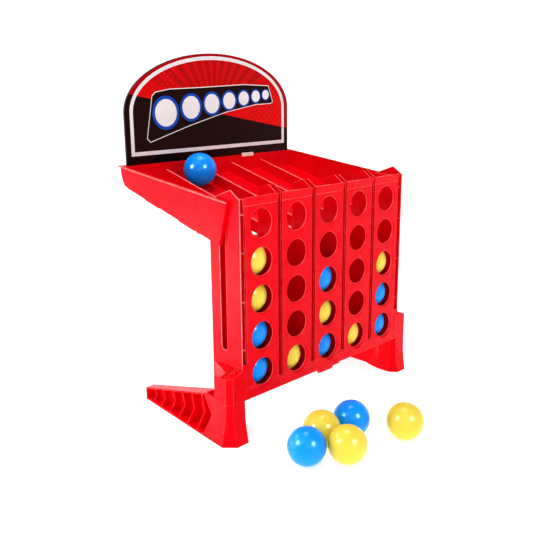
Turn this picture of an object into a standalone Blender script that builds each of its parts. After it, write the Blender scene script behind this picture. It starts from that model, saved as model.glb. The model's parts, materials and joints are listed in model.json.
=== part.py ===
"""Table-top bouncing-ball four-in-a-row: a five-column tower on two feet, with a sloping
ball tray behind its top, an arched backboard, a release trapdoor and eighteen balls.

Dimensions are in millimetres in the tower's own axes: X across the columns from the middle
one, Y backwards from the face of the column panels, Z up from the table.
"""

import math

import bmesh
import bpy

MM = 0.001
GAP = 0.3

# Columns and rows
COLUMNS = 5
ROWS = 5
PITCH_X = 52.4
PITCH_Z = 40.0
BOTTOM_ROW_Z = 71.2
HOLE_R = 14.9
HOLE_SEGMENTS = 24
GROOVE = 5.8

# Front panel
PANEL_T = 2.2
PANEL_BOTTOM = 51.3
RAIL_BOTTOM = 46.5
RAIL_TOP = 59.3
RAIL_PROUD = 1.0
RAIL_HALF = 135.1
CREASE_Z = 250.5
PANEL_TOP = 259.4
LIP_LEAN = 1.2

# Side walls, partitions and back
WALL_T = 1.6
INNER_FRONT = PANEL_T + GAP
INNER_REAR = 43.0
TOWER_HALF = 135.4
OUTER_T = 1.4
TOWER_DEPTH = 45.7
SHOULDER_Z = 211.0
BACK_TOP = 208.0
SKIN_TOP = 212.2
LINING_TOP = 257.5
SLOT_Y = (22.4, 31.3)
SLOT_Z = (96.3, 225.0)
BRIDGE_Z = (100.0, 151.5, 202.8, 242.0)
BACK_RIB_Z = (84.0, 131.0, 178.0)

# Tray
SLOPE = 0.2755
FLOOR_AT = (190.9, 256.2)
FLOOR_T = 3.0
FLOOR_FRONT = 43.7
FLOOR_REAR = 190.5
TRAY_INNER = 137.5
TRAY_OUTER = 139.4
RIM_OUT = 2.0
RIM_T = 1.6
RIM_FRONT = (14.0, 255.0)
RIM_REAR = (197.3, 277.2)
TRAY_END = 199.3
DIVIDER_H = 12.0
DIVIDER_FRONT = 28.9
TAB_Y = ((131.0, 155.0), (70.0, 96.0), (62.5, 66.5))
TAB_DROP = 2.0

# Backboard
BOARD_HALF = 133.0
BOARD_Y = 193.0
BOARD_T = 2.2
BOARD_FOOT = 266.0
BOARD_SHOULDER = 335.5
BOARD_TOP = 403.5
BOARD_SEGMENTS = 28

# Release trapdoor and its hinge
DOOR_HALF = 124.0
DOOR_Z = (48.1, 51.0)
DOOR_FRONT = 0.8
DOOR_REAR = 42.2
HINGE = (44.5, 48.9)
ROD_R = 1.32
LUG_BORE = 1.5
LUG_X = (-100.0, -34.0, 34.0, 100.0)
LUG_HALF = 5.0
LUG_SWEEP = 3.9

# Sockets and feet
SOCKET_X = (135.7, 154.6)
SOCKET_TOP = 80.5
SOCKET_FALL = 0.33
SOCKET_STEP_Y = 15.0
SOCKET_LEDGE = 62.6
PEG_X = (139.0, 151.0)
PEG_Y = (6.0, 22.0)
PEG_TOP = 58.0
FOOT_TOP = 46.2
ARM_TIP_Y = 163.0
ARM_INNER = 132.8
ARM_T = 2.0
ARM_RIB_Y = (149.0, 130.5, 111.0, 92.0, 74.0, 55.0)

# Balls
BALL_R = 19.85
BALL_Y = 22.4
COLUMN_BALLS = {
    1: {5: "blue", 4: "blue", 3: "yellow", 2: "yellow"},
    2: {5: "yellow"},
    3: {5: "blue", 4: "yellow", 3: "blue"},
    4: {5: "yellow"},
    5: {5: "blue", 4: "blue", 3: "yellow"},
}
TRAY_BALL = (-53.5, 158.6)
FLOOR_BALLS = (
    ((-9.8, -116.2), "yellow"),
    ((-91.6, -105.0), "yellow"),
    ((-122.9, -78.6), "blue"),
    ((-44.4, -71.5), "blue"),
    ((-84.8, -65.0), "yellow"),
)

# The row's origin is on the table, under the middle of the whole set.
FRONT_MOST = min(y for (_, y), _ in FLOOR_BALLS) - BALL_R
ORIGIN_Y = (FRONT_MOST + TRAY_END) / 2

COLOURS = {
    "red": (0.80, 0.008, 0.016),
    "print": (0.05, 0.012, 0.012),
    "blue": (0.004, 0.26, 0.87),
    "yellow": (0.87, 0.70, 0.06),
}


def column_x(column):
    """Centre of a column, counted from 1 at the left."""
    return (column - (COLUMNS + 1) / 2) * PITCH_X


def row_z(row):
    """Centre of a row, counted from 1 at the top."""
    return BOTTOM_ROW_Z + (ROWS - row) * PITCH_Z


def floor_z(y):
    """Height of the tray floor's top face."""
    return FLOOR_AT[1] + (y - FLOOR_AT[0]) * SLOPE


def rim_z(y):
    """Height of the tray's top edge."""
    (y0, z0), (y1, z1) = RIM_FRONT, RIM_REAR
    return z0 + (y - y0) * (z1 - z0) / (y1 - y0)


def arm_top(y):
    """Height of a foot's arm."""
    return 46.0 - (y - 45.0) * 0.2627


def arm_edge(y, high):
    """Distance of an arm's outer edge from the middle, along its top or along the table."""
    start = 149.5 if high else 156.9
    return start + (y - 40.0) * (144.2 - start) / (ARM_TIP_Y - 40.0)


def mesh_of(points, faces):
    """A closed mesh with its faces turned outwards."""
    mesh = bpy.data.meshes.new("shape")
    work = bmesh.new()
    corners = [work.verts.new((x * MM, (y - ORIGIN_Y) * MM, z * MM)) for x, y, z in points]
    for face in faces:
        work.faces.new([corners[i] for i in face])
    bmesh.ops.recalc_face_normals(work, faces=work.faces)
    work.to_mesh(mesh)
    work.free()
    return mesh


def loft(rings):
    """Rings of equally many points, joined in order and closed at both ends."""
    count = len(rings[0])
    points = [p for ring in rings for p in ring]
    faces = [list(range(count)), list(range(len(points) - count, len(points)))]
    for level in range(len(rings) - 1):
        low, high = level * count, (level + 1) * count
        for i in range(count):
            j = (i + 1) % count
            faces.append([low + i, low + j, high + j, high + i])
    return mesh_of(points, faces)


def prism(outline, axis, low, high):
    """A flat outline swept along X, Y or Z."""
    place = {
        "X": lambda a, b, t: (t, a, b),
        "Y": lambda a, b, t: (a, t, b),
        "Z": lambda a, b, t: (a, b, t),
    }[axis]
    return loft([[place(a, b, t) for a, b in outline] for t in (low, high)])


def box(x, y, z):
    """A block between pairs of limits."""
    (x0, x1), (y0, y1), (z0, z1) = x, y, z
    return prism([(x0, y0), (x1, y0), (x1, y1), (x0, y1)], "Z", z0, z1)


def disc(centre, radius, segments):
    """Points of a circle in any plane."""
    steps = [2 * math.pi * (i + 0.5) / segments for i in range(segments)]
    return [(centre[0] + radius * math.cos(t), centre[1] + radius * math.sin(t)) for t in steps]


def joined(meshes):
    """Separate closed shapes in one mesh, for one Boolean."""
    work = bmesh.new()
    for mesh in meshes:
        work.from_mesh(mesh)
        bpy.data.meshes.remove(mesh)
    whole = bpy.data.meshes.new("shapes")
    work.to_mesh(whole)
    work.free()
    return whole


def boolean(mesh, other, operation):
    """The first mesh with the second joined to it or cut from it."""
    body = bpy.data.objects.new("body", mesh)
    tool = bpy.data.objects.new("tool", other)
    for item in (body, tool):
        bpy.context.scene.collection.objects.link(item)
    step = body.modifiers.new("step", "BOOLEAN")
    step.operation = operation
    step.solver = "EXACT"
    step.object = tool
    graph = bpy.context.evaluated_depsgraph_get()
    result = bpy.data.meshes.new_from_object(body.evaluated_get(graph))
    for item in (body, tool):
        bpy.data.objects.remove(item)
    for used in (mesh, other):
        bpy.data.meshes.remove(used)
    return result


def union(meshes):
    """Overlapping shapes as one solid."""
    whole = meshes[0]
    for mesh in meshes[1:]:
        whole = boolean(whole, mesh, "UNION")
    return whole


def cut(mesh, cutters):
    """A solid with separate shapes taken out of it."""
    return boolean(mesh, joined(cutters), "DIFFERENCE")


def place(name, mesh, colour, origin=(0.0, 0.0, 0.0)):
    """A named piece with its own material and its origin at a point in tower axes."""
    x, y, z = origin[0] * MM, (origin[1] - ORIGIN_Y) * MM, origin[2] * MM
    if tuple(origin) == (0.0, 0.0, 0.0):
        y = 0.0
    for vertex in mesh.vertices:
        vertex.co.x -= x
        vertex.co.y -= y
        vertex.co.z -= z
    mesh.name = name
    material = bpy.data.materials.new(name + "_material")
    material.use_nodes = True
    shader = material.node_tree.nodes["Principled BSDF"]
    shader.inputs["Base Color"].default_value = (*COLOURS[colour], 1.0)
    shader.inputs["Roughness"].default_value = 0.3
    mesh.materials.clear()
    mesh.materials.append(material)
    piece = bpy.data.objects.new(name, mesh)
    piece.location = (x, y, z)
    bpy.context.scene.collection.objects.link(piece)
    return piece


def mirrored(outline, side):
    """An outline drawn for positive X, put on one side."""
    return [(side * a, b) for a, b in outline]


def spread(side, low, high):
    """Limits along X for a block on one side."""
    return tuple(sorted((side * low, side * high)))


def comb_plate():
    """The five strips joined along their foot, each with its lip leaning forwards."""
    half = PITCH_X / 2 - GROOVE / 2
    xs = [column_x(c) + s * half for c in range(1, COLUMNS + 1) for s in (-1, 1)]
    zs = [PANEL_BOTTOM, RAIL_TOP, CREASE_Z, PANEL_TOP]
    lean = [0.0, 0.0, 0.0, -LIP_LEAN]
    filled = {(i, k) for i in range(len(xs) - 1) for k in range(3) if k == 0 or i % 2 == 0}
    index, points, faces = {}, [], []

    def corner(i, k, back):
        if (i, k, back) not in index:
            index[i, k, back] = len(points)
            points.append((xs[i], lean[k] + (PANEL_T if back else 0.0), zs[k]))
        return index[i, k, back]

    for i, k in sorted(filled):
        ring = [(i, k), (i + 1, k), (i + 1, k + 1), (i, k + 1)]
        faces.append([corner(a, b, False) for a, b in ring])
        faces.append([corner(a, b, True) for a, b in ring])
        for n, (di, dk) in enumerate(((0, -1), (1, 0), (0, 1), (-1, 0))):
            if (i + di, k + dk) not in filled:
                (a, b), (c, d) = ring[n], ring[(n + 1) % 4]
                faces.append([corner(a, b, 0), corner(c, d, 0), corner(c, d, 1), corner(a, b, 1)])
    return mesh_of(points, faces)


def front_panel():
    """Holed face, with a proud rail along its foot that rises to the sockets at its ends."""
    rail = [(-RAIL_HALF, RAIL_BOTTOM), (RAIL_HALF, RAIL_BOTTOM), (RAIL_HALF, 80.4)]
    rail += [(128.2, 76.0), (118.0, RAIL_TOP), (-118.0, RAIL_TOP), (-128.2, 76.0), (-RAIL_HALF, 80.4)]
    skin = prism(rail, "Y", -RAIL_PROUD, 0.5)
    body = union([comb_plate(), skin])
    holes = [
        prism(disc((column_x(c), row_z(r)), HOLE_R, HOLE_SEGMENTS), "Y", -5.0, 8.0)
        for c in range(1, COLUMNS + 1)
        for r in range(1, ROWS + 1)
    ]
    return cut(body, holes)


def partition(x):
    """Two thin walls with a peaked ear and the groove between them, closed at the back."""
    outline = [
        (INNER_FRONT, PANEL_BOTTOM), (INNER_REAR, PANEL_BOTTOM), (INNER_REAR, BACK_TOP),
        (28.5, SHOULDER_Z), (28.5, 261.5), (12.5, 266.9), (INNER_FRONT, 260.2),
    ]
    near, far = GROOVE / 2, GROOVE / 2 + WALL_T
    walls = [prism(outline, "X", *sorted((x + s * near, x + s * far))) for s in (-1, 1)]
    web = box((x - far + 0.4, x + far - 0.4), (INNER_REAR - 1.6, INNER_REAR - 0.1), (52.0, BACK_TOP - 1.0))
    return union([walls[0], web, walls[1]])


def side_wall(side):
    """Outer wall with its long slot, inner column wall, and the webs that join them."""
    outer = [
        (0.8, PANEL_BOTTOM), (TOWER_DEPTH, PANEL_BOTTOM), (TOWER_DEPTH, SKIN_TOP), (34.5, SKIN_TOP),
        (34.5, 258.8), (13.4, 266.7), (0.2, 257.9), (0.0, 81.0), (0.8, 81.0),
    ]
    half = PITCH_X * 2.5 - GROOVE / 2
    skin = prism(outer, "X", *spread(side, TOWER_HALF - OUTER_T, TOWER_HALF))
    lining = [
        (INNER_FRONT, PANEL_BOTTOM), (INNER_REAR, PANEL_BOTTOM), (INNER_REAR, SHOULDER_Z), (34.5, SHOULDER_Z),
        (34.5, LINING_TOP), (INNER_FRONT, LINING_TOP),
    ]
    inner = prism(lining, "X", *spread(side, half - WALL_T, half))
    reach = spread(side, half - WALL_T + 0.3, TOWER_HALF - 0.3)
    web = box(reach, (38.5, 40.2), (52.0, SHOULDER_Z - 0.5))
    bridges = [box(reach, (3.0, 7.0), (z - 0.5, z + 0.5)) for z in BRIDGE_Z]
    body = union([skin, web, inner] + bridges)
    y0, y1 = SLOT_Y
    middle, radius = (y0 + y1) / 2, (y1 - y0) / 2
    arc = [math.pi * i / 8 for i in range(9)]
    slot = [(middle - radius * math.cos(t), SLOT_Z[0] + radius - radius * math.sin(t)) for t in arc]
    slot += [(middle + radius * math.cos(t), SLOT_Z[1] - radius + radius * math.sin(t)) for t in arc]
    return cut(body, [prism(slot, "X", *spread(side, TOWER_HALF - OUTER_T - 1.0, TOWER_HALF + 1.0))])


def back_panel():
    """Back with stiffening ribs, and the four lugs that hold the trapdoor's hinge rod."""
    rear = (INNER_REAR + GAP, TOWER_DEPTH)
    x = TOWER_HALF - OUTER_T - GAP
    plate = box((-x, x), rear, (PANEL_BOTTOM, BACK_TOP))
    rib_y = (TOWER_DEPTH - 0.5, TOWER_DEPTH + 1.5)
    ribs = [box((c - 0.9, c + 0.9), rib_y, (PANEL_BOTTOM, BACK_TOP)) for c in (-78.6, -26.2, 26.2, 78.6)]
    bars = [box((-x, x), rib_y, (z - 0.9, z + 0.9)) for z in BACK_RIB_Z]
    lug = [(42.5, 46.3), (46.9, 46.3), (46.9, 56.0), (45.0, 56.0), (45.0, 51.8), (43.5, 51.8),
           (43.5, 51.1), (42.5, 51.1)]
    lugs = [prism(lug, "X", c - LUG_HALF, c + LUG_HALF) for c in LUG_X]
    return cut(union([plate] + ribs + bars + lugs), [prism(disc(HINGE, LUG_BORE, 16), "X", -130.0, 130.0)])


def socket(side):
    """Chamfered boot at a bottom corner: high in front, a wedge behind, hollow for the foot's peg."""
    x0, x1 = SOCKET_X
    plan = [(x0, -RAIL_PROUD), (149.6, -RAIL_PROUD), (x1, 5.2), (x1, 23.0), (x0 + 1.4, 41.0), (x0, 41.0)]
    head = plan[:3] + [(x1, SOCKET_STEP_Y), (x0, SOCKET_STEP_Y)]
    wedge = [(x0, SOCKET_STEP_Y - 1.0), (145.8, SOCKET_STEP_Y - 1.0), (x0 + 1.6, 40.0), (x0, 40.0)]

    def block(outline, low, drop):
        top = [(side * x, y, SOCKET_TOP - (x - TOWER_HALF) * SOCKET_FALL - drop) for x, y in outline]
        return loft([[(side * x, y, low) for x, y in outline], top])

    base = loft([[(side * x, y, z) for x, y in plan] for z in (RAIL_BOTTOM, SOCKET_LEDGE)])
    body = union([base, block(head, RAIL_BOTTOM + 4.0, 0.0), block(wedge, RAIL_BOTTOM + 8.0, 0.4)])
    cheek = box(spread(side, x1 - 1.4, x1 - 0.02), (SOCKET_STEP_Y - 1.0, 22.9), (SOCKET_LEDGE - 1.0, 74.1))
    body = union([body, cheek])
    pocket = box(
        spread(side, PEG_X[0] - GAP, PEG_X[1] + GAP),
        (PEG_Y[0] - GAP, PEG_Y[1] + GAP), (40.0, PEG_TOP + GAP),
    )
    return cut(body, [pocket])


def foot_column(side):
    """Eight-sided column that flares to the table, with its back drawn in at the waist."""
    rings = {
        0.0: [(160.3, 6.2), (148.8, -5.5), (132.9, -5.2), (126.0, 4.0), (126.0, 22.0),
              (131.0, 43.0), (140.0, 43.5), (156.6, 43.2)],
        13.0: [(157.8, 5.8), (149.3, -2.9), (133.2, -2.8), (127.2, 4.5), (127.2, 22.0),
               (132.0, 36.0), (140.0, 36.5), (155.2, 36.2)],
        27.0: [(155.2, 5.3), (149.7, -1.2), (133.5, -1.2), (128.0, 5.0), (128.0, 22.0),
               (132.7, 29.5), (140.0, 30.0), (153.6, 30.0)],
        FOOT_TOP: [(154.4, 5.1), (149.6, -0.8), (133.4, -0.8), (128.2, 5.0), (128.2, 22.0),
                   (132.9, 40.0), (140.0, 46.5), (150.0, 46.5)],
    }
    return loft([[(side * x, y, z) for x, y in ring] for z, ring in rings.items()])


def foot_arm(side):
    """Rear arm: a channel open to the outside, crossed by ribs with drawn-in edges."""
    near, tip = 41.4, ARM_TIP_Y

    def slab(z_of, high, thickness):
        rings = []
        for y in (near, tip):
            z, x = z_of(y), arm_edge(y, high)
            rings.append([(side * ARM_INNER, y, z), (side * x, y, z),
                          (side * x, y, z - thickness), (side * ARM_INNER, y, z - thickness)])
        return loft(rings)

    lid = slab(arm_top, True, ARM_T)
    sole = slab(lambda y: ARM_T, False, ARM_T)
    web = prism([(28.0, 0.0), (tip, 0.0), (tip, arm_top(tip)), (near, arm_top(near)), (28.0, 46.0)],
                "X", *spread(side, ARM_INNER, ARM_INNER + ARM_T))
    parts = [lid, web, sole]
    for y in (*ARM_RIB_Y, tip - 0.8):
        low, high, z = arm_edge(y, False) - 0.2, arm_edge(y, True) - 0.2, arm_top(y) - 0.6
        waist, head = high - 6.0, high - 2.6
        if y > ARM_RIB_Y[0]:
            waist = head = high
        outline = [(ARM_INNER + 0.4, 0.4), (low, 0.4), (waist, 0.43 * z), (head, z), (ARM_INNER + 0.4, z)]
        parts.append(prism(mirrored(outline, side), "Y", y - 0.75, y + 0.75))
    return parts


def foot(side):
    """One foot: column, peg and arm in one moulding, with a well behind the peg."""
    peg = box(spread(side, *PEG_X), PEG_Y, (44.0, PEG_TOP))
    well = [(136.5, 24.5), (150.4, 24.5), (147.6, 44.0), (136.5, 44.6)]
    return cut(
        union([foot_column(side), peg] + foot_arm(side)),
        [prism(mirrored(well, side), "Z", 32.0, 50.0)],
    )


def tray_floor():
    """Sloping floor, its front edge over the tower's back, with short tabs below its sides."""
    x = TRAY_INNER - 1.1
    ends = (FLOOR_FRONT, FLOOR_REAR)
    outline = [(y, floor_z(y) - FLOOR_T) for y in ends] + [(y, floor_z(y)) for y in reversed(ends)]
    parts = [prism(outline, "X", -x, x)]
    for side in (-1, 1):
        for y0, y1 in TAB_Y:
            tab = [(y0, floor_z(y0) - FLOOR_T - TAB_DROP), (y1, floor_z(y1) - FLOOR_T - TAB_DROP),
                   (y1, floor_z(y1) - 0.8), (y0, floor_z(y0) - 0.8)]
            parts.append(prism(tab, "X", *spread(side, x - 2.2, x - 0.2)))
    return union(parts)


def tray_side(side):
    """Side wall with its rim and the forward flange that laps the tower."""
    bottom = [(26.2, 209.4), (28.5, floor_z(28.5) - FLOOR_T), (185.5, floor_z(185.5) - FLOOR_T)]
    corner = [(191.0, 255.0), (194.6, 259.0), (196.6, 264.0), (197.3, rim_z(197.3))]
    wall = prism(bottom + corner + [RIM_FRONT], "X", *spread(side, TRAY_INNER, TRAY_OUTER))
    strip = [(26.2, 209.4), (28.2, 209.6), (16.2, rim_z(16.2)), RIM_FRONT]
    strip = [(y, z + (0.3 if z < 220.0 else -0.3)) for y, z in strip]
    flange = prism(strip, "X", *spread(side, TOWER_HALF + GAP, TRAY_OUTER - 0.4))
    rim = []
    for y in (RIM_FRONT[0] + 0.4, TRAY_END):
        z = rim_z(y)
        rim.append([(side * a, y, z - b) for a, b in
                    ((TRAY_INNER + 0.2, 0.1), (TRAY_OUTER + RIM_OUT, 0.1),
                     (TRAY_OUTER + RIM_OUT, RIM_T), (TRAY_INNER + 0.2, RIM_T))])
    return union([wall, flange, loft(rim)])


def tray_rear():
    """Rear wall: two skins with the backboard's slot between them, and the rear rim."""
    outline = [
        (190.9, 255.0), (194.5, 259.0), (196.4, 264.0), (197.2, 270.0), (197.2, 275.4),
        (TRAY_END, 275.6), (TRAY_END, 277.3),
        (195.5, 277.0), (195.5, BOARD_FOOT - GAP), (192.7, BOARD_FOOT - GAP), (192.7, 276.6),
        (190.9, 276.4),
    ]
    x = TRAY_INNER - GAP
    return prism(outline, "X", -x, x)


def divider(x):
    """Lane divider on the tray floor, thinner at its top."""
    rings = []
    for y in (DIVIDER_FRONT, 189.9):
        low = max(floor_z(y) + GAP, 211.4)
        high = floor_z(y) + DIVIDER_H
        rings.append([(x - 2.8, y, low), (x + 2.8, y, low), (x + 1.5, y, high), (x - 1.5, y, high)])
    step = 44.0
    middle = [(x - 2.8, step, floor_z(step) + GAP), (x + 2.8, step, floor_z(step) + GAP),
              (x + 1.5, step, floor_z(step) + DIVIDER_H), (x - 1.5, step, floor_z(step) + DIVIDER_H)]
    return loft([rings[0], middle, rings[1]])


def backboard():
    """Flat board with straight sides and an elliptical arch on top."""
    steps = [math.pi * i / BOARD_SEGMENTS for i in range(BOARD_SEGMENTS + 1)]
    rise = BOARD_TOP - BOARD_SHOULDER
    arch = [(BOARD_HALF * math.cos(t), BOARD_SHOULDER + rise * math.sin(t)) for t in steps]
    return prism([(-BOARD_HALF, BOARD_FOOT), (BOARD_HALF, BOARD_FOOT)] + arch,
                 "Y", BOARD_Y, BOARD_Y + BOARD_T)


def release_door():
    """Trapdoor under the columns: plate notched round the lugs, front latch tab, hinge rod."""
    low, high = DOOR_Z
    plate = box((-DOOR_HALF, DOOR_HALF), (DOOR_FRONT, DOOR_REAR), DOOR_Z)
    notch_y = (HINGE[0] - LUG_SWEEP, DOOR_REAR + 1.0)
    notch_x = [(c - LUG_HALF - 0.7, c + LUG_HALF + 0.7) for c in LUG_X]
    plate = cut(plate, [box(x, notch_y, (low - 1.0, high + 1.0)) for x in notch_x])
    lip = box((-DOOR_HALF + 0.4, DOOR_HALF - 0.4), (DOOR_FRONT + 0.1, 2.3), (46.7, low + 0.5))
    rod = prism(disc(HINGE, ROD_R, 16), "X", -DOOR_HALF + 1.0, DOOR_HALF - 1.0)
    edges = [-DOOR_HALF + 1.6]
    edges += [c + s * (LUG_HALF + 1.0) for c in LUG_X for s in (-1, 1)] + [DOOR_HALF - 1.6]
    arms = [
        box((x0, x1), (DOOR_REAR - 1.0, HINGE[0]), (low + 0.3, HINGE[1] + 0.9))
        for x0, x1 in zip(edges[::2], edges[1::2])
    ]
    outline = [(-16.3, 42.3), (7.5, 42.3), (7.5, 44.7), (20.0, 44.7), (20.0, 46.1), (-16.3, 46.1)]
    tab = prism(outline, "Y", -RAIL_PROUD + 0.1, 2.4)
    neck = box((-15.0, 18.0), (DOOR_FRONT + 0.2, 2.2), (45.0, 47.4))
    return union([plate, lip, rod] + arms + [tab, neck])


def ball(centre):
    """A ball of sixteen by eight faces."""
    x, y, z = centre
    points = [(x, y, z - BALL_R)]
    faces = []
    for ring in range(1, 8):
        a = -math.pi / 2 + math.pi * ring / 8
        for i in range(16):
            t = 2 * math.pi * i / 16
            points.append((x + BALL_R * math.cos(a) * math.cos(t),
                           y + BALL_R * math.cos(a) * math.sin(t), z + BALL_R * math.sin(a)))
    points.append((x, y, z + BALL_R))
    for i in range(16):
        j = (i + 1) % 16
        faces.append([0, 1 + i, 1 + j])
        for ring in range(6):
            low, high = 1 + ring * 16, 17 + ring * 16
            faces.append([low + i, low + j, high + j, high + i])
        faces.append([97 + i, 97 + j, 113])
    return mesh_of(points, faces)


def build_tower():
    place("front_panel", front_panel(), "red")
    for number in range(1, COLUMNS):
        x = column_x(number) + PITCH_X / 2
        place(f"partition_{number}", partition(x), "red")
    place("back_panel", back_panel(), "red")
    for side, word in ((-1, "left"), (1, "right")):
        place(f"side_wall_{word}", side_wall(side), "red")
        place(f"socket_{word}", socket(side), "red")
        place(f"foot_{word}", foot(side), "red")


def build_tray():
    place("tray_floor", tray_floor(), "red")
    place("tray_rear", tray_rear(), "red")
    for side, word in ((-1, "left"), (1, "right")):
        place(f"tray_side_{word}", tray_side(side), "red")
    for number in range(1, COLUMNS):
        place(f"lane_divider_{number}", divider(column_x(number) + PITCH_X / 2), "red")
    place("backboard", backboard(), "print", (0.0, BOARD_Y, BOARD_FOOT))


def build_balls():
    for column, stack in COLUMN_BALLS.items():
        for row, colour in stack.items():
            centre = (column_x(column), BALL_Y, row_z(row))
            place(f"ball_c{column}_r{row}", ball(centre), colour, centre)
    x, y = TRAY_BALL
    centre = (x, y, floor_z(y) + (BALL_R + GAP) * math.hypot(1.0, SLOPE))
    place("ball_tray", ball(centre), "blue", centre)
    for number, ((x, y), colour) in enumerate(FLOOR_BALLS, 1):
        centre = (x, y, BALL_R)
        place(f"ball_table_{number}", ball(centre), colour, centre)


def main():
    for item in list(bpy.data.objects):
        bpy.data.objects.remove(item)
    build_tower()
    build_tray()
    place("release_door", release_door(), "red", (0.0, *HINGE))
    build_balls()


main()
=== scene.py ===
"""Looks of the table-top bouncing-ball four-in-a-row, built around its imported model.

Shapes are drawn in millimetres in the tower's axes: X across the columns from the middle one,
Y backwards from the face of the column panels, Z up from the table. mesh_of() turns them into
metres in the model's frame.
"""

import json
import math
import random

import bmesh
import bpy
from mathutils import Matrix, Vector


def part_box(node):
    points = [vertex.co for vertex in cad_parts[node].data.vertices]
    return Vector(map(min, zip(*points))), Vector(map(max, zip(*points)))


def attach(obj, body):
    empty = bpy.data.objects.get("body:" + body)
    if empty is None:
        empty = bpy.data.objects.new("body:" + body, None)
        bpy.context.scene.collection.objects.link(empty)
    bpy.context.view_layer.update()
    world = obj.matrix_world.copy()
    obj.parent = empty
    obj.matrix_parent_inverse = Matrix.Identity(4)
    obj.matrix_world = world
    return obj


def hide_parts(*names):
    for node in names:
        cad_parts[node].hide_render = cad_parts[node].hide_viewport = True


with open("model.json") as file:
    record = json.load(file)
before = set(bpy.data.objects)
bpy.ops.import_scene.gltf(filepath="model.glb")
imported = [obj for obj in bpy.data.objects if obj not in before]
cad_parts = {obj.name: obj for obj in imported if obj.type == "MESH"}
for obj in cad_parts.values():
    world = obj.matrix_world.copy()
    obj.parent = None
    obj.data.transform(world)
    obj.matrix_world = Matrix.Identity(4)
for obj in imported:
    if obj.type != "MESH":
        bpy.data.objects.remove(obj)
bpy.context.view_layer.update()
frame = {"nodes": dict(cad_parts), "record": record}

MM = 0.001
ORIGIN_Y = 31.625
# Face attribute that sets how much painted highlight, with some wear, an edge gets.
EDGE = "edge"

# Columns, rows and their holes
COLUMNS = 5
ROWS = 5
PITCH_X = 52.4
PITCH_Z = 40.0
BOTTOM_ROW_Z = 71.2
GROOVE = 5.8
HOLE_SEGMENTS = 56
HOLE_PROFILE = (
    (17.0, -4.0), (17.0, 0.0), (16.75, 0.3), (16.2, 0.62), (15.6, 0.82),
    (15.2, 1.0), (14.97, 1.3), (14.9, 1.7), (14.9, 6.0),
)
# Painted highlight on the inner round of each hole's rim, and the depths where it lies.
HOLE_HIGHLIGHT = 0.35
HOLE_HIGHLIGHT_DEPTHS = (0.98, 1.6)

# Face of the tower
PANEL_T = 2.2
PANEL_BOTTOM = 51.3
RAIL_BOTTOM = 46.5
RAIL_TOP = 57.0
RAIL_BLEND = 59.3
RAIL_PROUD = 1.0
RAIL_HALF = 135.35
RAIL_BACK = 0.6
RISER_HALF = 129.8
RISER_FILL = (127.9, 130.2)
RISER_BEND = 74.0
RISER_TOP = 86.0
CREASE_Z = 250.5
PANEL_TOP = 259.4
LIP_LEAN = 1.2
LIP_STEP = 0.25
DIMPLES = ((128.6, 57.4, 0.9), (123.6, 53.3, 0.5))

# Tray
TOWER_HALF = 135.4
SLOPE = 0.2755
FLOOR_AT = (190.9, 256.2)
FLOOR_T = 3.0
FLOOR_FRONT = 43.7
FLOOR_REAR = 192.0
TRAY_INNER = 137.5
TRAY_OUTER = 139.4
TRAY_DRAFT = 1.5
RIM_T = 1.6
RIM_FRONT = (14.0, 255.0)
RIM_REAR = (197.3, 277.2)
TRAY_END = 199.3
DIVIDER_H = 12.0
DIVIDER_FRONT = 28.9
# Painted highlight on the dividers' ridges and the tray's rim.
RIDGE_BAND = 0.9
RIDGE_REACH = (110.0, 190.0)
RIDGE_HIGHLIGHT = 0.45
TAB_Y = ((131.0, 155.0), (70.0, 96.0), (62.5, 66.5))
TAB_DROP = 2.0
SLITS = ((127.4, 159.6, 165.4), (127.2, 166.6, 172.9), (125.6, 149.8, 152.4))
CLIP = ((44.8, 64.9), (190.2, 192.5), (274.0, 278.6))

# Sockets
SOCKET_X = (135.2, 154.6)
SOCKET_TOP = 80.5
SOCKET_FALL = 0.33
SOCKET_STEP_Y = 15.0
SOCKET_LEDGE = 62.6

# Backboard
BOARD_HALF = 133.0
BOARD_Y = 193.0
BOARD_T = 2.2
BOARD_FOOT = 266.0
BOARD_SHOULDER = 335.5
BOARD_TOP = 403.5
LAYER_T = 0.06
FRAME_OUTER = (126.0, 286.7, 64.7)
FRAME_INNER = (121.4, 291.2, 60.3)
PLAQUE = (
    (-103.6, 305.9), (-94.2, 354.6), (-89.3, 359.0), (-68.5, 362.3), (-20.0, 363.6),
    (52.0, 366.3), (96.7, 364.3), (104.8, 342.8), (101.0, 340.3), (73.0, 339.6),
    (20.0, 331.5), (-40.0, 317.3), (-98.9, 300.8),
)
DISC_COUNT = 7
DISC_START = (-74.5, 334.5)
DISC_END = (91.0, 352.3)
DISC_R = (20.0, 7.5)
DISC_WHITE = 0.80

# Print on the backboard
RAY_CENTRE_Z = 326.0
RAY_WAVES = 34.0
DOT_PITCH = (8.8, 8.0)
DOT_CELLS_LEFT = 20.0
DOT_GROWTH = (46.0, 66.0)
DOT_FADE = (-92.0, -74.0)
DOT_RADIUS = 1.25
MARGIN_INSET = (2.3, 2.2)
BLACK_FOOT = (-0.196, 332.4)

# Balls
BALL_R = 19.85
BALL_SEGMENTS = 56

# Rounding of edges, by shape and by node for those that are copied
ROUNDING = {"face": 0.4, "socket": 0.3, "tray": 0.35, "clip": 0.3, "board": 0.25, "door": 0.25}
COPY_ROUNDING = {
    "back_panel": 0.3, "side_wall_left": 0.35, "side_wall_right": 0.35,
    "foot_left": 0.45, "foot_right": 0.45,
}
PARTITION_ROUNDING = 0.3
SHARP_ANGLE = 28.0
FACE_SHARP_ANGLE = 24.0

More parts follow.
